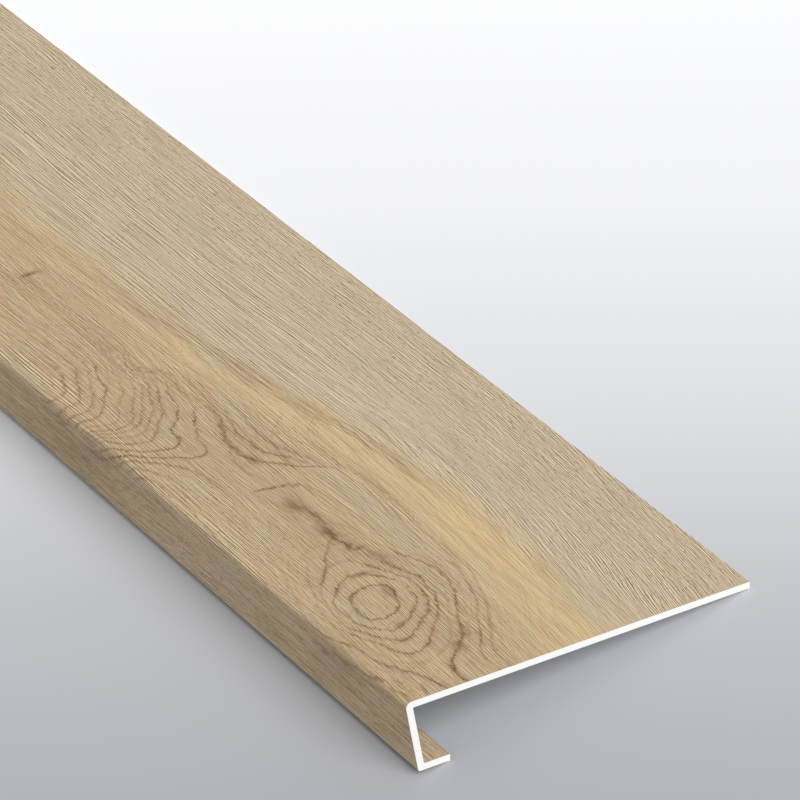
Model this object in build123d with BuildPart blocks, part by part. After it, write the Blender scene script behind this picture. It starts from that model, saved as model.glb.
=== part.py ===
"""Stair tread cover with a raked nose and a return lip, folded from one oak-faced vinyl board.

Millimetres. +X runs along the nose, +Y from the nose to the back edge, +Z is up.
The part lies on a level floor as it comes to rest, tread up: on the free edge of its lip
and on the lower corner of its back edge. The origin is the middle of its box, on the floor.
"""

from build123d import *
from math import asin, atan2, cos, degrees, hypot, radians, sin, tan
import os

# Driving dimensions
tread_length = 1200.0      # along the nose, the full stock length
tread_depth = 300.0        # from the nose to the back edge, over the top face
nose_height = 62.0         # from the top face to the underside of the lip, square to the tread
nose_rake = 10.5           # degrees that the nose leans in under the tread
lip_width = 27.0           # the return under the step, measured over its outer face
board_thickness = 5.5
upper_fold_radius = 4.6    # outside, where the tread turns into the nose
lower_fold_radius = 2.0    # outside, where the nose turns into the lip
root_radius = 0.5          # inside both folds
lip_edge_radius = 0.5      # both corners of the lip's free edge, which the oak film wraps round

# The outer face of the section: u runs from the nose to the back edge, v is square to the tread
nose_setback = nose_height * tan(radians(nose_rake))
back_edge_top = (tread_depth, 0.0)
upper_fold = (0.0, 0.0)
lower_fold = (nose_setback, -nose_height)
lip_edge = (nose_setback + lip_width, -nose_height)
back_edge_foot = (tread_depth, -board_thickness)

# The floor touches the round corner of the lip's free edge and the sharp foot of the back edge,
# which sets the tilt at rest
run_to_foot = back_edge_foot[0] - (lip_edge[0] - lip_edge_radius)
rise_to_foot = back_edge_foot[1] - (lip_edge[1] + lip_edge_radius)
rest_tilt = atan2(rise_to_foot, run_to_foot) + asin(lip_edge_radius / hypot(run_to_foot, rise_to_foot))
tread_direction = Vector(0, cos(rest_tilt), -sin(rest_tilt))
tread_normal = Vector(0, sin(rest_tilt), cos(rest_tilt))


def at_rest(point):
    """A point (u, v) of the section, turned to the tilt at rest, about the upper fold."""
    return tread_direction * point[0] + tread_normal * point[1]


# The rounded lower fold is the frontmost line at rest, so its arc's centre and radius give the front
lower_fold_angle = 90 + nose_rake
arc_run = lower_fold_radius / tan(radians(lower_fold_angle / 2))
lower_arc_centre = (nose_setback + arc_run, lower_fold_radius - nose_height)
front = at_rest(lower_arc_centre).Y - lower_fold_radius
back = at_rest(back_edge_top).Y
floor = at_rest(back_edge_foot).Z
section_plane = Plane(
    origin=(0, -(front + back) / 2, -floor), x_dir=tread_direction, z_dir=(1, 0, 0)
)

# The folded board: its outer face is drawn, thickened inwards, rounded and extruded
with BuildPart() as stair_tread:
    with BuildSketch(section_plane) as section:
        with BuildLine():
            Polyline(back_edge_top, upper_fold, lower_fold, lip_edge)
            offset(amount=board_thickness, side=Side.LEFT, kind=Kind.INTERSECTION)
        make_face()
        upper_root = section.vertices().sort_by_distance(upper_fold)[1]
        lower_root = section.vertices().sort_by_distance(lower_fold)[1]
        fillet([upper_root, lower_root], radius=root_radius)
        fillet(section.vertices().sort_by_distance(upper_fold)[0], radius=upper_fold_radius)
        fillet(section.vertices().sort_by_distance(lower_fold)[0], radius=lower_fold_radius)
        fillet(section.vertices().sort_by_distance(lip_edge)[:2], radius=lip_edge_radius)
    extrude(amount=tread_length / 2, both=True)

stair_tread.part.label = "stair_tread"
os.makedirs("parts", exist_ok=True)
export_step(stair_tread.part, "parts/stair_tread.step")

box = stair_tread.part.bounding_box()
print("tilt at rest", round(degrees(rest_tilt), 3), "degrees")
print("box", box.min, box.max, "volume", round(stair_tread.part.volume), "mm3")
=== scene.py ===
"""Looks of a folded stair tread cover: an oak film on a white core, on a pale studio floor.

Metres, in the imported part's frame: +X along the nose, +Y to the back edge, +Z up.
The oak pattern is laid out on the film as it was before folding, in millimetres:
Along runs from the right end to the left, and Across runs from the upper fold, which is 0,
to the back edge, so it is negative on the nose and on the lip.
"""

from math import asin, atan2, ceil, cos, hypot, pi, radians, sin, tan

import bmesh
import bpy
from mathutils import Matrix, Vector


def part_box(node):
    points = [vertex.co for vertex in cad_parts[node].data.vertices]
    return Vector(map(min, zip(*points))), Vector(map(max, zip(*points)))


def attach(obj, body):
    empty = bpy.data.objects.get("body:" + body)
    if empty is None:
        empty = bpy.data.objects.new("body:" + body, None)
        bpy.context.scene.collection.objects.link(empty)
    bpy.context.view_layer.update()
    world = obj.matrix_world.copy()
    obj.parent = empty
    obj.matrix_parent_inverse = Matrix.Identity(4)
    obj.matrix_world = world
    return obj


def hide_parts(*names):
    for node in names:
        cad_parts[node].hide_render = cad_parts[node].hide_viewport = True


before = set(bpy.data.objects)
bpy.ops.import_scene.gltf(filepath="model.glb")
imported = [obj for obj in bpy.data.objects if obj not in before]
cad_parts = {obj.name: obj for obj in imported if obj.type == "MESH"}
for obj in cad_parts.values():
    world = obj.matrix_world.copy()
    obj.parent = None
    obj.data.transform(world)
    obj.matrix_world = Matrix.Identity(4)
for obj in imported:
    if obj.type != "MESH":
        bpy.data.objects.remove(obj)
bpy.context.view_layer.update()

MM = 0.001

# The board's section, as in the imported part
TREAD_LENGTH = 1200 * MM
TREAD_DEPTH = 300 * MM
NOSE_HEIGHT = 62 * MM
NOSE_RAKE = radians(10.5)
LIP_WIDTH = 27 * MM
BOARD_THICKNESS = 5.5 * MM
UPPER_FOLD_RADIUS = 4.6 * MM
LOWER_FOLD_RADIUS = 2.0 * MM
ROOT_RADIUS = 0.5 * MM
LIP_EDGE_RADIUS = 0.5 * MM

RIGHT_ANGLE = pi / 2
STEPS_IN_A_RIGHT_ANGLE = 12
# Edges that bend more than this stay sharp
SHARP_FROM = radians(30)
# Which of the board's two materials a face has
OAK, CORE = 0, 1


def srgb(red, green, blue):
    """A colour as a paint chart gives it, 0 to 255, in the linear values that a shader takes."""
    linear = []
    for level in (red, green, blue):
        share = level / 255
        linear.append(share / 12.92 if share <= 0.04045 else ((share + 0.055) / 1.055) ** 2.4)
    return (*linear, 1.0)


# Where the tread's own axes lie: along the nose, across its face, and square to its face

def rest_tilt():
    """The tread's fall towards the back, as it rests on the lip's edge and the back edge's foot."""
    nose_setback = NOSE_HEIGHT * tan(NOSE_RAKE)
    run = TREAD_DEPTH - (nose_setback + LIP_WIDTH - LIP_EDGE_RADIUS)
    rise = NOSE_HEIGHT - LIP_EDGE_RADIUS - BOARD_THICKNESS
    return atan2(rise, run) + asin(LIP_EDGE_RADIUS / hypot(run, rise))


def tread_axes():
    """Places the tread's own axes, whose origin is the sharp upper fold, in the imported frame."""
    turn = Matrix.Rotation(-rest_tilt(), 4, "X")
    low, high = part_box("stair_tread")
    back_edge_top = turn @ Vector((0, TREAD_DEPTH, 0))
    back_edge_foot = turn @ Vector((0, TREAD_DEPTH, -BOARD_THICKNESS))
    shift = Vector((0, high.y - back_edge_top.y, low.z - back_edge_foot.z))
    return Matrix.Translation(shift) @ turn


TREAD_AXES = tread_axes()


# The board

def corners_among(parts):
    """The corners among the parts that an operator hands back."""
    return [part for part in parts if isinstance(part, bmesh.types.BMVert)]


class Outline:
    """The section's outline, drawn as one walk in the plane across the nose.

    A straight run and then a turn to the left, or to the right where the angle is negative.
    Heading 0 points to the back and heading a quarter turn points up.
    """

    def __init__(self, mesh, start, heading):
        self.mesh = mesh
        self.tip = mesh.verts.new(start)
        self.heading = heading

    def direction(self):
        return Vector((0, cos(self.heading), sin(self.heading)))

    def run(self, length):
        """Draws a straight run of this length."""
        made = bmesh.ops.extrude_vert_indiv(self.mesh, verts=[self.tip])
        self.tip = made["verts"][0]
        bmesh.ops.translate(self.mesh, verts=[self.tip], vec=self.direction() * length)

    def turn(self, angle, radius):
        """Draws a rounded corner of this radius."""
        side = 1 if angle > 0 else -1
        to_centre = Vector((0, -sin(self.heading), cos(self.heading))) * side * radius
        made = bmesh.ops.spin(
            self.mesh, geom=[self.tip], cent=self.tip.co + to_centre, axis=(1, 0, 0),
            angle=angle, steps=ceil(abs(angle) / RIGHT_ANGLE * STEPS_IN_A_RIGHT_ANGLE),
            use_duplicate=False,
        )
        self.tip = corners_among(made["geom_last"])[0]
        self.heading += angle


def cut_back(radius, angle):
    """How much of a straight run a rounded corner takes, where the walk turns by this angle."""
    return radius * tan(abs(angle) / 2)


def folded_board():
    """The folded board, with the oak film on the outside and the lip, and bare core elsewhere."""
    upper_turn = RIGHT_ANGLE + NOSE_RAKE
    lower_turn = RIGHT_ANGLE - NOSE_RAKE
    upper_cut = cut_back(UPPER_FOLD_RADIUS, upper_turn)
    lower_cut = cut_back(LOWER_FOLD_RADIUS, lower_turn)
    upper_root_cut = cut_back(ROOT_RADIUS, upper_turn)
    lower_root_cut = cut_back(ROOT_RADIUS, lower_turn)
    upper_mitre = cut_back(BOARD_THICKNESS, upper_turn)
    lower_mitre = cut_back(BOARD_THICKNESS, lower_turn)
    nose_run = NOSE_HEIGHT / cos(NOSE_RAKE)

    mesh = bmesh.new()
    outline = Outline(mesh, (TREAD_LENGTH / 2, TREAD_DEPTH, 0), heading=pi)
    outline.run(TREAD_DEPTH - upper_cut)
    outline.turn(upper_turn, UPPER_FOLD_RADIUS)
    outline.run(nose_run - upper_cut - lower_cut)
    outline.turn(lower_turn, LOWER_FOLD_RADIUS)
    outline.run(LIP_WIDTH - lower_cut - LIP_EDGE_RADIUS)
    outline.turn(RIGHT_ANGLE, LIP_EDGE_RADIUS)
    outline.run(BOARD_THICKNESS - 2 * LIP_EDGE_RADIUS)
    outline.turn(RIGHT_ANGLE, LIP_EDGE_RADIUS)
    outline.run(LIP_WIDTH - lower_mitre - lower_root_cut - LIP_EDGE_RADIUS)
    verts_of_film = len(mesh.verts)
    outline.turn(-lower_turn, ROOT_RADIUS)
    outline.run(nose_run - upper_mitre - lower_mitre - upper_root_cut - lower_root_cut)
    outline.turn(-upper_turn, ROOT_RADIUS)
    outline.run(TREAD_DEPTH - upper_mitre - upper_root_cut)

    # Each corner remembers how far round the outline it is, which the film's layout needs
    developed = mesh.verts.layers.float.new("developed")
    mesh.verts.ensure_lookup_table()
    corners = list(mesh.verts)
    for before, after in zip(corners, corners[1:]):
        after[developed] = before[developed] + (after.co - before.co).length
    film_width = corners[verts_of_film - 1][developed]

    mesh.edges.new((corners[-1], corners[0]))
    right_end = bmesh.ops.contextual_create(mesh, geom=list(mesh.edges))["faces"][0]
    made = bmesh.ops.extrude_face_region(mesh, geom=[right_end], use_keep_orig=True)
    left_end = corners_among(made["geom"])
    bmesh.ops.translate(mesh, verts=left_end, vec=(-TREAD_LENGTH, 0, 0))
    bmesh.ops.recalc_face_normals(mesh, faces=mesh.faces)

    layout = mesh.loops.layers.uv.new("film_layout")
    for face in mesh.faces:
        face.smooth = True
        is_end = abs(face.normal.x) > 0.5
        furthest = max(corner[developed] for corner in face.verts)
        face.material_index = OAK if furthest <= film_width and not is_end else CORE
        for loop in face.loops:
            place = loop.vert.co
            across = place.z if is_end else TREAD_DEPTH - loop.vert[developed]
            loop[layout].uv = (place.y if is_end else TREAD_LENGTH / 2 - place.x, across)
    mesh.transform(TREAD_AXES)
    return mesh


def stair_tread_board():
    """The whole tread cover, one piece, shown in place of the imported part's plain solid."""
    board = bpy.data.meshes.new("stair_tread_board")
    mesh = folded_board()
    mesh.to_mesh(board)
    mesh.free()
    board.set_sharp_from_angle(angle=SHARP_FROM)
    piece = bpy.data.objects.new("stair_tread_board", board)
    bpy.context.scene.collection.objects.link(piece)
    flat_faces = piece.modifiers.new("flat faces stay flat", "WEIGHTED_NORMAL")
    flat_faces.keep_sharp = True
    flat_faces.weight = 100
    piece.data.materials.append(oak_film())
    piece.data.materials.append(white_core())
    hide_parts("stair_tread")
    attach(piece, "root")
    return piece


# Shader nodes

class Nodes:
    """Adds nodes to a material or a group, and wires each one as it is made."""

    def __init__(self, tree):
        self.tree = tree

    def feed(self, socket, value):
        """Joins a socket to another node's output, or sets it to a plain value."""
        if isinstance(value, bpy.types.NodeSocket):
            self.tree.links.new(value, socket)
        else:
            socket.default_value = value

    def add(self, kind, inputs=None, **settings):
        """A new node, with its settings and with what its sockets are fed."""
        node = self.tree.nodes.new(kind)
        for name, value in settings.items():
            setattr(node, name, value)
        for name, value in (inputs or {}).items():
            self.feed(node.inputs[name], value)
        return node

    def math(self, operation, *values):
        node = self.add("ShaderNodeMath", operation=operation)
        for socket, value in zip(node.inputs, values):
            self.feed(socket, value)
        return node.outputs[0]

    def total(self, *values):
        result = values[0]
        for value in values[1:]:
            result = self.math("ADD", result, value)
        return result

    def product(self, *values):
        result = values[0]
        for value in values[1:]:
            result = self.math("MULTIPLY", result, value)
        return result

    def ramp(self, value, low, high, to_low=0.0, to_high=1.0, kind="LINEAR"):
        """Takes low..high to to_low..to_high, and stays there past the ends."""
        node = self.add(
            "ShaderNodeMapRange", interpolation_type=kind,
            inputs={"Value": value, "From Min": low, "From Max": high,
                    "To Min": to_low, "To Max": to_high},
        )
        return node.outputs["Result"]

    def noise(self, along, across, length, width, seed, detail=2.0):
        """A noise from 0 to 1, in blobs about as long and as wide as asked."""
        place = self.add("ShaderNodeCombineXYZ", {
            "X": self.math("DIVIDE", along, length), "Y": self.math("DIVIDE", across, width),
            "Z": seed,
        })
        node = self.add(
            "ShaderNodeTexNoise", {"Vector": place.outputs[0], "Scale": 1.0, "Detail": detail}
        )
        return node.outputs["Fac"]

    def curve(self, along, points, low, high):
        """A smooth curve over the board's length, through the given points of (along, height).

        Along is in millimetres, and every height lies from low to high.
        """
        node = self.add("ShaderNodeFloatCurve")
        line = node.mapping.curves[0]
        length = TREAD_LENGTH / MM
        places = [(a / length, (height - low) / (high - low)) for a, height in points]
        line.points[0].location = places[0]
        line.points[1].location = places[-1]
        for place in places[1:-1]:
            line.points.new(*place)
        node.mapping.update()
        self.feed(node.inputs["Value"], self.math("DIVIDE", along, length))
        return self.ramp(node.outputs["Value"], 0.0, 1.0, low, high)

    def blend(self, share, under, over):
        """The colour under where the share is 0, and the colour over where it is 1."""
        node = self.add("ShaderNodeMix", data_type="RGBA", clamp_factor=True)
        # This node's sockets for colours come after those for numbers and vectors
        self.feed(node.inputs[0], share)
        self.feed(node.inputs[6], under)
        self.feed(node.inputs[7], over)
        return node.outputs[2]

    def group(self, tree, **inputs):
        """A node group's outputs. Each input goes by its title, with _ for a space."""
        node = self.add("ShaderNodeGroup", node_tree=tree)
        for name, value in inputs.items():
            self.feed(node.inputs[name.replace("_", " ").capitalize()], value)
        return node.outputs


def start_group(name, takes, gives):
    """An empty shader node group: its nodes, what comes in, and what goes out."""
    tree = bpy.data.node_groups.new(name, "ShaderNodeTree")
    for title in takes:
        tree.interface.new_socket(title, in_out="INPUT", socket_type="NodeSocketFloat")
    for title in gives:
        tree.interface.new_socket(title, in_out="OUTPUT", socket_type="NodeSocketFloat")
    nodes = Nodes(tree)
    start = nodes.add("NodeGroupInput")
    end = nodes.add("NodeGroupOutput")
    return nodes, start.outputs, end.inputs


def streaks_group():
    """Thin marks along the grain, about as long and as wide as asked, from 0 to 1."""
    nodes, start, end = start_group(
        "streaks", ["Along", "Across", "Length", "Width", "Seed"], ["Amount"]
    )
    noise = nodes.noise(
        start["Along"], start["Across"], start["Length"], start["Width"], start["Seed"]
    )
    nodes.feed(end["Amount"], nodes.ramp(noise, 0.28, 0.72))
    return nodes.tree


def soft_spot_group():
    """1 in the middle of an oval, and fading to 0 at about twice its half length and half width."""
    nodes, start, end = start_group(
        "soft spot",
        ["Along", "Across", "Middle along", "Middle across", "Half length", "Half width"],
        ["Amount"],
    )
    off_along = nodes.math("SUBTRACT", start["Along"], start["Middle along"])
    off_across = nodes.math("SUBTRACT", start["Across"], start["Middle across"])
    share_along = nodes.math("DIVIDE", off_along, start["Half length"])
    share_across = nodes.math("DIVIDE", off_across, start["Half width"])
    squared = nodes.total(
        nodes.product(share_along, share_along), nodes.product(share_across, share_across)
    )
    nodes.feed(end["Amount"], nodes.math("EXPONENT", nodes.product(squared, -0.7)))
    return nodes.tree


def oval_spot(nodes, soft_spot, along, across, oval):
    """A soft spot in an oval, given by its middle along and across, half length and half width."""
    middle_along, middle_across, half_length, half_width = oval
    return nodes.group(
        soft_spot, along=along, across=across, middle_along=middle_along,
        middle_across=middle_across, half_length=half_length, half_width=half_width,
    )["Amount"]


def drawn_line_group():
    """A line where Offset is 0: 1 in its middle, 0.2 at the half width, and a faint edge beyond."""
    nodes, start, end = start_group("drawn line", ["Offset", "Half width"], ["Amount"])
    share = nodes.math("DIVIDE", nodes.math("ABSOLUTE", start["Offset"]), start["Half width"])
    line = nodes.ramp(share, 0.2, 1.0, 1.0, 0.0, kind="SMOOTHSTEP")
    nodes.feed(end["Amount"], nodes.math("MAXIMUM", line, nodes.ramp(share, 0.5, 3.0, 0.24, 0.0)))
    return nodes.tree


def share_on_nose(nodes, across):
    """0 on the tread, and 1 from just below the upper fold."""
    return nodes.ramp(across, -2, -9)


# How deep the heart of the tree lies under the face, along the board. Closed rings show where
# it comes near the face, and arches show where it falls or rises.
HEART_DEPTH = [
    (0, 53.4), (22, 52.7), (35, 50), (45, 46), (52, 42.4), (71, 36.7), (86, 30.1), (103, 20.2),
    (125, 11), (146, 20.2), (165, 30.1), (190, 38), (225, 50), (285, 62), (345, 64), (373, 61.2),
    (385, 59.6), (400, 56.8), (414, 54.8), (432, 51), (447, 45), (462, 39), (475, 33), (488, 26),
    (503, 18), (540, 10), (620, 12), (760, 26), (880, 36), (1040, 26), (1200, 40),
]
# Where the heart's line runs on the board, from the upper fold
HEART_LINE = [
    (0, 44), (22, 43), (45, 47), (75, 51), (100, 53.5), (125, 55), (165, 57), (250, 57),
    (345, 56), (373, 53), (385, 45), (398, 38), (414, 30), (432, 27), (447, 22), (460, 15),
    (475, 10), (503, 8), (540, 9), (640, 4), (800, -12), (1000, -8), (1200, 10),
]
# How much lower on the board the knot's innermost rings lie than its outer ones
KNOT_TILT = [
    (0, 0), (45, -2), (75, -5.5), (104, -4.7), (125, -2), (146, 3), (165, 3), (200, 1), (250, 0),
    (1200, 0),
]
# How far the rings lie together across the board, as a share of how far they lie apart in depth
RING_SPREAD = [
    (0, 1.0), (125, 0.97), (200, 0.92), (300, 0.88), (373, 0.85), (425, 0.82), (448, 0.98),
    (480, 1.05), (500, 1.1), (540, 0.8), (700, 0.85), (1200, 0.9),
]
# The same where the face lies further behind the heart's line than NEAR_HEART
SPREAD_ABOVE = [
    (0, 1.0), (45, 0.96), (80, 0.88), (110, 0.85), (150, 0.8), (200, 0.9), (300, 0.9), (373, 0.6),
    (400, 0.38), (440, 0.42), (480, 0.44), (506, 0.62), (530, 0.78), (600, 0.76), (1200, 0.8),
]
NEAR_HEART = 25
# The least that the distance from the heart grows over a millimetre, so no ring gets too wide
GENTLEST_SLOPE = 0.08
# The growth rings by their distance from the heart, each with its strength near the knot at the
# right end and in the arches to its left
GROWTH_RINGS = [
    (18.0, 0.0, 0.75), (20.2, 0.85, 0.0), (26.6, 0.0, 0.65), (30.1, 0.9, 0.0), (34.0, 0.0, 0.6),
    (36.7, 0.85, 0.0), (39.4, 0.0, 0.8), (42.4, 0.85, 0.0), (45.0, 0.0, 0.45), (48.8, 0.3, 0.55),
    (51.2, 0.0, 0.55), (53.3, 0.0, 0.55), (54.1, 0.9, 0.0), (55.5, 0.0, 0.7),
    (58.5, 0.3, 0.95), (61.7, 0.0, 1.0), (65.5, 0.7, 0.6), (71.5, 0.5, 0.5), (77.0, 0.2, 0.5),
    (84.0, 0.15, 0.5), (92.0, 0.15, 0.5),
]
# How much the fibres have risen across the board, where they run off at a slant near the right end
FIBRE_RISE = [(0, 0), (90, 14), (180, 24), (270, 30), (360, 32), (700, 30), (1200, 36)]
# Where the middle of the yellow sapwood runs, and how far it reaches each side of it
SAPWOOD_LINE = [
    (0, 150), (105, 161), (210, 170), (300, 162), (367, 153), (437, 136), (490, 128),
    (600, 128), (760, 128), (1000, 122), (1200, 126),
]
SAPWOOD_HALF_WIDTH = [
    (0, 39), (105, 31), (210, 24), (300, 22), (367, 18), (437, 15), (490, 14), (600, 15),
    (760, 16), (1000, 12), (1200, 12),
]
# Where the pinkish band along the sapwood runs
PINK_BAND_LINE = [
    (0, 196), (120, 186), (210, 179), (287, 175), (325, 172), (364, 163), (437, 150), (490, 145),
    (546, 136), (630, 128), (800, 116), (1000, 126), (1200, 140),
]
# The thin lines in that band: how far each lies from its middle, and its strength
PINK_LINES = [(-4.5, 0.6), (0.0, 0.85), (5.0, 0.65)]
# Lines of the figure between the knot and the arches, with each one's half width and strength,
# and where along the board it comes in and fades out
FIGURE_LINES = [
    ([(0, 150), (285, 136), (308, 121), (319, 106), (330, 97), (342, 85), (351, 81), (373, 81),
      (396, 89), (421, 97), (440, 97), (468, 88), (600, 88), (1200, 94)], 2.3, 0.95, 304, 440),
    ([(0, 150), (300, 124), (318, 116), (329, 111), (340, 103), (352, 97), (364, 95), (379, 95),
      (404, 100), (423, 105), (600, 108), (1200, 114)], 2.4, 0.85, 318, 415),
    ([(0, 150), (300, 130), (313, 124), (325, 120), (344, 113), (362, 109), (381, 108), (401, 111),
      (600, 114), (1200, 120)], 2.3, 0.7, 318, 395),
    ([(0, 78), (150, 78), (180, 79), (196, 79), (210, 79), (225, 79), (240, 81), (262, 82),
      (275, 83), (300, 83), (1200, 83)], 2.2, 1.0, 196, 262),
    ([(0, 20), (150, 28), (166, 36), (177, 44), (196, 57), (212, 70), (220, 76), (1200, 78)],
     1.8, 0.95, 170, 225),
    ([(0, 130), (190, 139), (257, 143), (293, 138), (304, 136), (327, 138), (340, 131),
      (380, 122), (600, 118), (1200, 122)], 1.8, 0.5, 200, 335),
]
# How far each side of those two places such a line takes to come in and to fade out
COMES_IN_OVER = 6
FADES_OVER = 30
# Dark spots: their middles along and across, their half lengths and half widths, and strengths
DARK_SPOTS = [
    (55, 74, 24, 13, 0.2), (235, 62, 60, 26, 0.12), (230, 80, 55, 8, 0.25), (172, 91, 15, 3, 0.6),
    (186, 89, 8, 3, 0.6), (194, 84, 3, 5, 0.8), (200, 79, 6, 2.6, 0.95), (222, 77, 14, 4, 1.0),
    (228, 73, 10, 3, 0.7), (251, 81, 10, 2, 0.85), (270, 75, 11, 6, 0.8), (264, 80, 8, 3, 0.7),
    (303, 67, 1.3, 4.5, 0.9), (301, 75, 1.7, 5, 1.0), (299, 84, 1.5, 4.5, 0.85),
    (295, 92, 2, 4, 0.6), (286, 97, 8, 1.5, 0.4), (62, 90, 9, 2.6, 0.7), (43, 74, 7, 4.5, 0.75),
    (20, 54, 10, 1.8, 0.6), (55, 84, 6, 3, 0.6), (132, 70, 11, 3, 0.55), (162, 66, 2.8, 8, 0.65),
    (71, 47, 2.2, 7, 0.6), (90, 54, 3, 3, 0.6), (11, 22, 5, 1.2, 0.6), (31, 19, 6, 1.2, 0.6),
    (47, 16, 6, 1.2, 0.6), (24, 11, 14, 1, 0.5), (344, 84, 8, 4, 0.7), (365, 81, 10, 2, 0.5),
    (338, 108, 16, 7, 0.16), (388, 96, 26, 6, 0.14),
    (684, 84, 2.6, 7, 1.0), (676, 80, 14, 4, 0.3),
    (85, -9, 14, 1.6, 0.6), (118, -14, 10, 2.2, 0.6), (135, -12, 12, 1.6, 0.5),
    (126, -32, 14, 1.4, 0.7), (88, -35, 18, 1.2, 0.5), (148, -22, 8, 1.4, 0.5),
    (142, -49, 14, 1.4, 0.6), (180, -44, 12, 1.4, 0.5), (338, -10, 12, 1.6, 0.5),
    (365, -17, 12, 1.6, 0.5), (440, -16, 12, 2.0, 0.5),
]


def distance_from_heart(nodes, along, across):
    """The distance from the heart of the tree, in the rings' own spacing."""
    aside = nodes.math("SUBTRACT", across, nodes.curve(along, HEART_LINE, -60, 80))
    innermost = nodes.ramp(nodes.math("ABSOLUTE", aside), 6, 30, 1.0, 0.0)
    tilt = nodes.product(nodes.curve(along, KNOT_TILT, -10, 10), innermost)
    aside = nodes.math("SUBTRACT", aside, tilt)
    beside = nodes.math("MINIMUM", aside, NEAR_HEART)
    above = nodes.math("MAXIMUM", nodes.math("SUBTRACT", aside, NEAR_HEART), 0)
    aside = nodes.total(
        nodes.product(beside, nodes.curve(along, RING_SPREAD, 0, 1.2)),
        nodes.product(above, nodes.curve(along, SPREAD_ABOVE, 0, 1.2)),
    )
    depth = nodes.curve(along, HEART_DEPTH, 0, 80)
    squared = nodes.total(nodes.product(depth, depth), nodes.product(aside, aside))
    return nodes.math("SQRT", squared)


def grain_flow_group():
    """Where a place lies in the tree, and its place across the fibres.

    Radius is the distance from the heart, and Slope is how fast that grows over the face.
    """
    nodes, start, end = start_group("grain flow", ["Along", "Across"], ["Radius", "Slope", "Fibre"])
    along, across = start["Along"], start["Across"]
    sway = nodes.noise(along, across, 48, 26, 4.0, detail=1.0)
    swayed = nodes.total(across, nodes.product(
        nodes.ramp(sway, 0.25, 0.75, -1.8, 1.8), nodes.ramp(along, 300, 360, 1, 0.4)
    ))
    radius = distance_from_heart(nodes, along, swayed)
    further_on = distance_from_heart(nodes, nodes.total(along, 1.0), swayed)
    further_back = distance_from_heart(nodes, along, nodes.total(swayed, 1.0))
    slope_along = nodes.math("SUBTRACT", further_on, radius)
    slope_across = nodes.math("SUBTRACT", further_back, radius)
    slope = nodes.math("SQRT", nodes.total(
        nodes.product(slope_along, slope_along), nodes.product(slope_across, slope_across)
    ))
    gentle = nodes.noise(along, across, 240, 60, 7.0, detail=1.0)
    wandering = nodes.total(across, nodes.ramp(gentle, 0.25, 0.75, -4, 4))
    rise = nodes.product(
        nodes.curve(along, FIBRE_RISE, 0, 40), nodes.ramp(across, 70, 210, 0.1, 1.0)
    )
    nodes.feed(end["Radius"], radius)
    nodes.feed(end["Slope"], nodes.math("MAXIMUM", slope, GENTLEST_SLOPE))
    nodes.feed(end["Fibre"], nodes.math("SUBTRACT", wandering, rise))
    return nodes.tree


def growth_rings_group(drawn_line):
    """Thin brown lines where the growth rings come to the face."""
    nodes, start, end = start_group(
        "growth rings", ["Along", "Across", "Radius", "Slope", "Comb"], ["Amount"]
    )
    along, across = start["Along"], start["Across"]
    wobble = nodes.noise(along, across, 12, 6, 9.0)
    jagged = nodes.total(nodes.ramp(wobble, 0.2, 0.8, -1.7, 1.7), start["Comb"])
    on_nose = share_on_nose(nodes, across)
    uneven = nodes.noise(along, across, 9, 9, 11.0, detail=1.0)
    wide = nodes.total(nodes.ramp(along, 165, 300, 1.5, 1.4), on_nose)
    half_width = nodes.product(wide, nodes.ramp(uneven, 0.25, 0.75, 0.6, 1.4))
    near_knot = nodes.ramp(along, 165, 200, 1.0, 0.0)
    near_arches = nodes.ramp(along, 300, 350)
    lines = 0.0
    for distance, by_the_knot, by_the_arches in GROWTH_RINGS:
        beyond = nodes.math("SUBTRACT", start["Radius"], distance)
        offset = nodes.total(nodes.math("DIVIDE", beyond, start["Slope"]), jagged)
        line = nodes.group(drawn_line, offset=offset, half_width=half_width)["Amount"]
        strength = nodes.total(
            nodes.product(near_knot, by_the_knot), nodes.product(near_arches, by_the_arches)
        )
        lines = nodes.math("MAXIMUM", lines, nodes.product(line, strength))
    below_the_knot = nodes.product(
        nodes.ramp(across, 34, 22), nodes.ramp(along, 85, 130),
        nodes.ramp(along, 300, 340, 0.7, 0.0),
    )
    nodes.feed(end["Amount"], nodes.product(
        lines, nodes.ramp(on_nose, 0, 1, 1.0, 0.4), nodes.ramp(below_the_knot, 0, 1, 1.0, 0.0),
        nodes.ramp(along, 490, 600, 1.0, 0.4),
    ))
    return nodes.tree


def figure_lines_group(drawn_line, soft_spot):
    """The bent lines and dark spots between the knot and the arches."""
    nodes, start, end = start_group("figure lines", ["Along", "Across", "Comb"], ["Lines", "Spots"])
    along, across = start["Along"], start["Across"]
    wobble = nodes.noise(along, across, 9, 9, 14.0)
    wobbled = nodes.total(across, nodes.ramp(wobble, 0.2, 0.8, -2.4, 2.4), start["Comb"])
    lines = 0.0
    for points, half_width, strength, first, last in FIGURE_LINES:
        offset = nodes.math("SUBTRACT", wobbled, nodes.curve(along, points, 0, 200))
        line = nodes.group(drawn_line, offset=offset, half_width=half_width)["Amount"]
        shown = nodes.product(
            nodes.ramp(along, first - COMES_IN_OVER, first + COMES_IN_OVER, 0.0, strength),
            nodes.ramp(along, last - FADES_OVER, last + FADES_OVER, 1.0, 0.0),
        )
        lines = nodes.math("MAXIMUM", lines, nodes.product(line, shown))
    spots = 0.0
    for *oval, strength in DARK_SPOTS:
        spot = oval_spot(nodes, soft_spot, along, wobbled, oval)
        spots = nodes.math("MAXIMUM", spots, nodes.product(spot, strength))
    nodes.feed(end["Lines"], lines)
    nodes.feed(end["Spots"], spots)
    return nodes.tree
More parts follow.
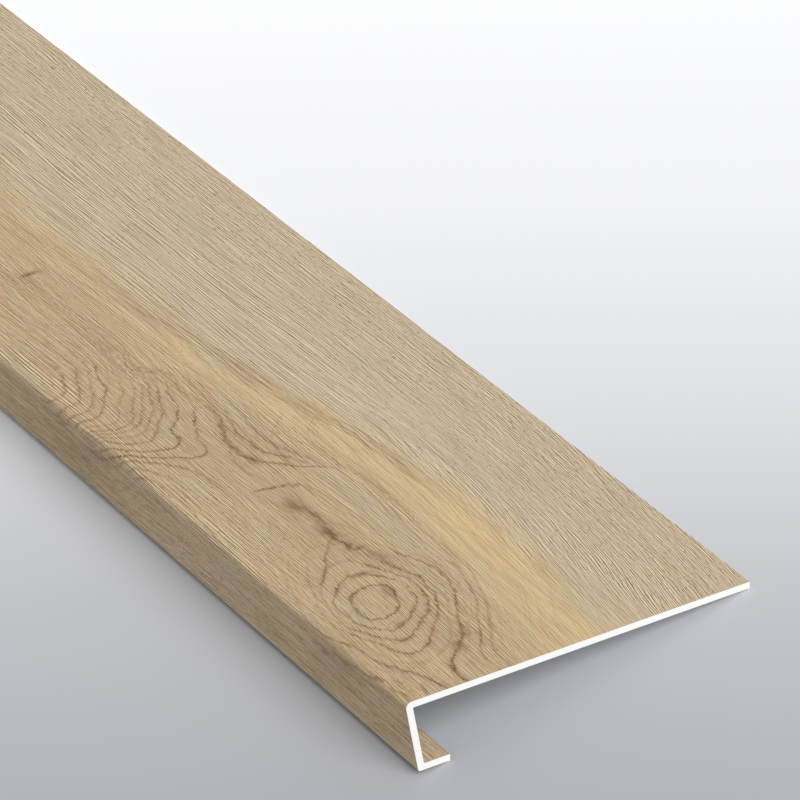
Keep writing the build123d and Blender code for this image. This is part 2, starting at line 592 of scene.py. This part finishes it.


# The printed film's colours, before the light falls on it. The brown and the cream also paint shade
# and highlight on the grooves' sides, and the cream paints bounce light low on the nose
BACK_OAK = srgb(200, 181, 154)
SAPWOOD = srgb(221, 192, 138)
FRONT_OAK = srgb(192, 166, 125)
PINK_OAK = srgb(192, 161, 125)
GREY_OAK = srgb(182, 172, 148)
PINK_BAND = srgb(160, 129, 94)
RING_BROWN = srgb(116, 80, 39)
GRAIN_BROWN_AND_GROOVE_SHADE = srgb(120, 94, 62)
NOSE_BROWN = srgb(142, 118, 72)
CREAM_AND_PAINTED_LIGHT = srgb(240, 224, 190)

# Patches that are greyer, darker or lighter than the wood around them: their middles along and
# across, their half lengths and half widths, how much they differ, and towards which colour
PATCHES = [
    (225, 121, 75, 8, 0.5, GREY_OAK), (385, 48, 75, 40, 0.12, GRAIN_BROWN_AND_GROOVE_SHADE),
    (320, 74, 45, 13, 0.06, GRAIN_BROWN_AND_GROOVE_SHADE), (385, 202, 75, 24, 0.1, CREAM_AND_PAINTED_LIGHT),
    (20, 228, 70, 22, 0.09, CREAM_AND_PAINTED_LIGHT), (105, 134, 30, 12, 0.14, CREAM_AND_PAINTED_LIGHT), (500, 74, 40, 12, 0.1, CREAM_AND_PAINTED_LIGHT),
]
# The calm patch behind the lines to the left of the knot, where the grooves' painted highlight and
# painted shade, and the pores, are fainter
CALM_OVAL = (245, 103, 70, 22)
GROOVE_DEPTH = 0.12 * MM
# How far apart the two places lie whose difference tells where a groove gets painted highlight and
# where painted shade
ACROSS_A_GROOVE = 0.4


def oak_film():
    """The printed and embossed oak face, with painted highlight and painted shade on its grooves and
    painted bounce light low on the nose.
    """
    material = bpy.data.materials.new("oak film")
    material.use_nodes = True
    nodes = Nodes(material.node_tree)
    shader = material.node_tree.nodes["Principled BSDF"]
    streaks = streaks_group()
    drawn_line = drawn_line_group()
    soft_spot = soft_spot_group()

    layout = nodes.add("ShaderNodeUVMap", uv_map="film_layout").outputs["UV"]
    place = nodes.add("ShaderNodeSeparateXYZ", {"Vector": layout}).outputs
    along = nodes.product(place["X"], 1 / MM)
    across = nodes.product(place["Y"], 1 / MM)
    grain = nodes.group(grain_flow_group(), along=along, across=across)
    radius, slope, fibre = grain["Radius"], grain["Slope"], grain["Fibre"]

    def marks(across_grain, length, width, seed):
        """Streaks that follow whatever is given as the place across the grain."""
        return nodes.group(
            streaks, along=along, across=across_grain, length=length, width=width, seed=seed
        )["Amount"]

    # Zones: grey oak at the back, a yellow band of sapwood, and pinker oak in front
    on_nose = share_on_nose(nodes, across)
    band_line = nodes.curve(along, SAPWOOD_LINE, 60, 200)
    band_width = nodes.curve(along, SAPWOOD_HALF_WIDTH, 0, 40)
    ragged = nodes.ramp(marks(fibre, 110, 9, 1.0), 0, 1, -9, 9)
    off_band = nodes.total(nodes.math("SUBTRACT", across, band_line), ragged)
    in_band = nodes.math("DIVIDE", off_band, band_width)
    sapwood = nodes.product(
        nodes.ramp(nodes.math("ABSOLUTE", in_band), 0.2, 1.5, 0.9, 0.0, kind="SMOOTHSTEP"),
        nodes.ramp(along, 60, 200, 0.8, 1.0), nodes.ramp(along, 200, 620, 1.0, 0.35),
        nodes.ramp(marks(fibre, 130, 5, 34.0), 0.1, 0.6, 0.65, 1.05),
    )
    behind_band = nodes.ramp(off_band, -26, 42, kind="SMOOTHSTEP")
    front = nodes.blend(marks(radius, 200, 9, 6.0), FRONT_OAK, PINK_OAK)
    oak = nodes.blend(behind_band, front, BACK_OAK)
    oak = nodes.blend(sapwood, oak, SAPWOOD)
    greyed = nodes.product(
        nodes.ramp(marks(fibre, 90, 9, 12.0), 0.5, 1.0), nodes.ramp(behind_band, 0, 1, 0.45, 0.8)
    )
    oak = nodes.blend(greyed, oak, GREY_OAK)
    oak = nodes.blend(nodes.ramp(marks(fibre, 60, 8, 15.0), 0.5, 1.0, 0, 0.6), oak, PINK_OAK)

    for *oval, strength, colour in PATCHES:
        patch = oval_spot(nodes, soft_spot, along, across, oval)
        oak = nodes.blend(nodes.product(patch, strength), oak, colour)
    far_nose = nodes.product(on_nose, nodes.ramp(along, 340, 470, 0.0, 0.62))
    oak = nodes.blend(far_nose, oak, NOSE_BROWN)

    # The pinkish band along the sapwood, with thin lines in it
    off_pink = nodes.total(
        nodes.math("SUBTRACT", across, nodes.curve(along, PINK_BAND_LINE, 60, 200)),
        nodes.ramp(marks(across, 40, 9, 18.0), 0, 1, -2, 2),
    )
    band = nodes.group(drawn_line, offset=off_pink, half_width=11.0)["Amount"]
    pink = nodes.product(band, 0.12)
    for aside, strength in PINK_LINES:
        offset = nodes.math("SUBTRACT", off_pink, aside)
        line = nodes.group(drawn_line, offset=offset, half_width=1.8)["Amount"]
        pink = nodes.total(pink, nodes.product(line, strength))
    pink = nodes.product(
        pink, nodes.ramp(marks(fibre, 50, 5, 19.0), 0.1, 0.6, 0.4, 1.0),
        nodes.ramp(along, 160, 290, 0.1, 1.0), nodes.ramp(along, 500, 750, 1.0, 0.5),
    )
    oak = nodes.blend(pink, oak, PINK_BAND)

    # Broad streaks, then painted highlight and painted shade on the two sides of the fine grooves,
    # small pores, and painted bounce light low on the nose
    broad = nodes.ramp(marks(radius, 150, 1.9, 20.0), 0.0, 0.45, 0.22, 0.0)
    oak = nodes.blend(nodes.product(broad, nodes.ramp(behind_band, 0, 1, 1.0, 0.3)), oak, RING_BROWN)
    middling = marks(fibre, 60, 3.4, 22.0)
    swell = nodes.ramp(on_nose, 0, 1, 0.2, 0.4)
    oak = nodes.blend(nodes.product(nodes.ramp(middling, 0.1, 0.5, 1, 0), swell), oak, GRAIN_BROWN_AND_GROOVE_SHADE)
    oak = nodes.blend(nodes.product(nodes.ramp(middling, 0.5, 0.9, 0, 1), swell), oak, CREAM_AND_PAINTED_LIGHT)
    drawn_out = nodes.product(
        nodes.ramp(along, 180, 480), nodes.ramp(across, 285, 225, 0.45, 1.0),
        nodes.ramp(behind_band, 0.2, 0.9, 0.15, 1.0),
    )
    near_fold = nodes.product(
        nodes.ramp(across, 60, 30), nodes.ramp(on_nose, 0, 1, 1, 0), nodes.ramp(along, 150, 240),
    )
    drawn_out = nodes.total(drawn_out, nodes.product(near_fold, 0.85))

    def grooves(across_grain):
        """The height of the embossed face, with longer grooves where they are drawn out."""
        fine = nodes.total(
            nodes.product(marks(across_grain, 34, 0.8, 25.0), 0.65),
            nodes.product(marks(across_grain, 12, 1.0, 26.0), 0.35),
        )
        step = nodes.math("SUBTRACT", marks(across_grain, 60, 1.1, 33.0), fine)
        return nodes.total(fine, nodes.product(step, drawn_out, 0.7))

    groove = grooves(fibre)
    lit_side = nodes.math("SUBTRACT", groove, grooves(nodes.total(fibre, ACROSS_A_GROOVE)))
    # How strongly the grooves' painted highlight and painted shade, and the pores, show in the
    # colour
    depth = nodes.total(
        nodes.ramp(behind_band, 0.0, 1.0, 0.95, 1.1), nodes.ramp(across, 190, 260, 0.0, 0.7),
        nodes.product(behind_band, nodes.ramp(along, 300, 800, 0.0, 0.2)),
        nodes.product(sapwood, -0.6), nodes.product(on_nose, -0.05),
    )
    low_front = nodes.product(
        nodes.ramp(across, 25, 70, 0.85, 0.0), nodes.ramp(along, 150, 240),
        nodes.ramp(along, 330, 420, 1.0, 0.5),
    )
    calm = oval_spot(nodes, soft_spot, along, across, CALM_OVAL)
    depth = nodes.total(
        depth, low_front, nodes.product(on_nose, nodes.ramp(along, 120, 260, 0.2, -0.2)),
        nodes.product(calm, -0.35),
    )
    # Painted shade on one side of each groove and painted highlight on the other, as a slanting
    # light would give
    painted_groove_shade = nodes.product(nodes.ramp(lit_side, -0.3, -0.02, 0.9, 0.0), depth)
    painted_groove_highlight = nodes.product(nodes.ramp(lit_side, 0.02, 0.3, 0.0, 0.8), depth)
    oak = nodes.blend(painted_groove_shade, oak, GRAIN_BROWN_AND_GROOVE_SHADE)
    oak = nodes.blend(painted_groove_highlight, oak, CREAM_AND_PAINTED_LIGHT)
    pores = nodes.product(nodes.ramp(marks(fibre, 7, 0.9, 28.0), 0.02, 0.25, 0.5, 0.0), depth)
    oak = nodes.blend(pores, oak, GRAIN_BROWN_AND_GROOVE_SHADE)
    open_grain = nodes.total(
        nodes.product(nodes.ramp(along, 0, 120, 0.7, 0.46), nodes.ramp(across, 30, 75, 1.0, 0.1)),
        nodes.product(on_nose, 0.35),
    )
    long_pores = nodes.ramp(marks(fibre, 15, 1.1, 31.0), 0.05, 0.26, 0.9, 0.0)
    oak = nodes.blend(nodes.product(long_pores, open_grain), oak, RING_BROWN)
    # Painted bounce light: the colour is made paler low on the nose and on the lip
    oak = nodes.blend(nodes.ramp(across, -34, -60, 0.0, 0.1), oak, CREAM_AND_PAINTED_LIGHT)

    # Rings, bent lines and spots, which the grooves break up
    dashes = nodes.ramp(marks(fibre, 14, 1.0, 17.0), 0.1, 0.6, 0.45, 1.0)
    patches = nodes.ramp(marks(across, 30, 18, 19.0), 0.2, 0.8, 0.6, 1.0)
    fading = nodes.total(
        radius, nodes.ramp(across, 20, 90, -26, 14), nodes.ramp(along, 60, 170, -24, 0)
    )
    near_heart = nodes.ramp(fading, 58, 92, 1.15, 0.15, kind="SMOOTHSTEP")
    comb = nodes.ramp(marks(fibre, 9, 0.9, 32.0), 0, 1, -1.5, 1.5)
    rings = nodes.group(
        growth_rings_group(drawn_line), along=along, across=across, radius=radius, slope=slope,
        comb=comb,
    )
    oak = nodes.blend(nodes.product(rings["Amount"], near_heart, dashes, patches), oak, RING_BROWN)
    figure = nodes.group(
        figure_lines_group(drawn_line, soft_spot), along=along, across=across, comb=comb
    )
    oak = nodes.blend(nodes.product(figure["Lines"], dashes, 0.75), oak, RING_BROWN)
    oak = nodes.blend(nodes.product(figure["Spots"], dashes), oak, RING_BROWN)

    nodes.feed(shader.inputs["Base Color"], oak)
    shader.inputs["Specular IOR Level"].default_value = 0.4
    nodes.feed(shader.inputs["Roughness"], nodes.ramp(groove, 0, 1, 0.66, 0.52))
    bump = nodes.add(
        "ShaderNodeBump", {"Height": groove, "Distance": GROOVE_DEPTH, "Strength": 0.6}
    )
    nodes.feed(shader.inputs["Normal"], bump.outputs["Normal"])
    return material


CORE_WHITE = srgb(243, 242, 239)
SPECKLE_WHITE = srgb(250, 250, 248)
SPECKLES_PER_METRE = 1400.0


def white_core():
    """The bare core, as sawn at the ends and as pressed underneath."""
    material = bpy.data.materials.new("white core")
    material.use_nodes = True
    nodes = Nodes(material.node_tree)
    shader = material.node_tree.nodes["Principled BSDF"]
    place = nodes.add("ShaderNodeTexCoord").outputs["Object"]
    speckle = nodes.add(
        "ShaderNodeTexNoise", {"Vector": place, "Scale": SPECKLES_PER_METRE, "Detail": 2.0}
    ).outputs["Fac"]
    speckled = nodes.blend(nodes.ramp(speckle, 0.35, 0.65), CORE_WHITE, SPECKLE_WHITE)
    nodes.feed(shader.inputs["Base Color"], speckled)
    shader.inputs["Roughness"].default_value = 0.6
    shader.inputs["Specular IOR Level"].default_value = 0.35
    return material


# The studio

# The floor's colours, painted paler with distance as light falls off over a paper sweep, by how many
# metres further away than the tread's middle they lie
FLOOR_PAINTED_FALLOFF = [
    (-0.545, srgb(180, 182, 188)), (-0.325, srgb(196, 198, 203)), (-0.086, srgb(223, 225, 230)),
    (0.175, srgb(243, 244, 248)), (0.461, srgb(252, 253, 255)),
]
# The level direction in which the floor's colour is painted paler
AWAY = Vector((-0.689, 0.725, 0))
# How many metres the floor reaches each way
FLOOR_REACH = 20


def pale_floor():
    """A pale floor whose colour is painted paler towards the back, as light falls off over a paper
    sweep.
    """
    mesh = bmesh.new()
    bmesh.ops.create_grid(mesh, x_segments=1, y_segments=1, size=FLOOR_REACH)
    sheet = bpy.data.meshes.new("studio_floor")
    mesh.to_mesh(sheet)
    mesh.free()
    floor = bpy.data.objects.new("studio_floor", sheet)
    bpy.context.scene.collection.objects.link(floor)

    paper = bpy.data.materials.new("studio paper")
    paper.use_nodes = True
    nodes = Nodes(paper.node_tree)
    shader = paper.node_tree.nodes["Principled BSDF"]
    place = nodes.add("ShaderNodeTexCoord").outputs["Object"]
    distance_away = nodes.add(
        "ShaderNodeVectorMath", {0: place, 1: AWAY}, operation="DOT_PRODUCT"
    ).outputs["Value"]
    nearest, nearest_shade = FLOOR_PAINTED_FALLOFF[0]
    furthest, furthest_shade = FLOOR_PAINTED_FALLOFF[-1]
    painted_falloff = nodes.add(
        "ShaderNodeValToRGB", {"Fac": nodes.ramp(distance_away, nearest, furthest)}
    )
    stops = painted_falloff.color_ramp.elements
    stops[0].color = nearest_shade
    stops[1].color = furthest_shade
    for distance, colour in FLOOR_PAINTED_FALLOFF[1:-1]:
        stops.new((distance - nearest) / (furthest - nearest)).color = colour
    nodes.feed(shader.inputs["Base Color"], painted_falloff.outputs["Color"])
    shader.inputs["Roughness"].default_value = 1.0
    shader.inputs["Specular IOR Level"].default_value = 0.0
    sheet.materials.append(paper)


TOWARDS_LAMP = Vector((0.75, 0.10, 0.65))
LAMP_STRENGTH = 2.3
LAMP_SPREAD = radians(40)
ROOM_COLOUR = (1.0, 0.992, 0.976, 1.0)
ROOM_STRENGTH = 0.52


def soft_light():
    """A broad light from high on the right, and an even white room."""
    lamp = bpy.data.lights.new("studio_light", "SUN")
    lamp.energy = LAMP_STRENGTH
    lamp.angle = LAMP_SPREAD
    light = bpy.data.objects.new("studio_light", lamp)
    light.rotation_euler = TOWARDS_LAMP.to_track_quat("Z", "Y").to_euler()
    bpy.context.scene.collection.objects.link(light)

    room = bpy.data.worlds.new("studio_room")
    room.use_nodes = True
    background = room.node_tree.nodes["Background"]
    background.inputs["Color"].default_value = ROOM_COLOUR
    background.inputs["Strength"].default_value = ROOM_STRENGTH
    bpy.context.scene.world = room


# The camera, on the tread's own axes: where it stands, how far it is turned from the front
# towards the right end, and how steeply it looks down on the tread's face
CAMERA_PLACE = Vector((3607.9, -1937.1, 2364.0)) * MM
CAMERA_TURN = radians(57.276)
CAMERA_DIP = radians(30.575)
FOCAL_LENGTH_IN_PIXELS = 6042.3
PICTURE_WIDTH_IN_PIXELS = 800
SENSOR_WIDTH_IN_MM = 36
FURTHEST_IN_VIEW = 100


def camera():
    """The camera, at the photo's angle and with its long lens."""
    towards_camera = Vector((
        sin(CAMERA_TURN) * cos(CAMERA_DIP), -cos(CAMERA_TURN) * cos(CAMERA_DIP), sin(CAMERA_DIP)
    ))
    right = Vector((0, 0, 1)).cross(towards_camera).normalized()
    up = towards_camera.cross(right)
    aim = Matrix((right, up, towards_camera)).transposed().to_4x4()
    lens = bpy.data.cameras.new("studio_camera")
    lens.sensor_width = SENSOR_WIDTH_IN_MM
    lens.lens = FOCAL_LENGTH_IN_PIXELS / PICTURE_WIDTH_IN_PIXELS * SENSOR_WIDTH_IN_MM
    lens.clip_end = FURTHEST_IN_VIEW
    view = bpy.data.objects.new("studio_camera", lens)
    view.matrix_world = TREAD_AXES @ Matrix.Translation(CAMERA_PLACE) @ aim
    bpy.context.scene.collection.objects.link(view)
    bpy.context.scene.camera = view


camera()
soft_light()
pale_floor()
stair_tread_board()

bpy.context.scene.view_settings.view_transform = "Standard"
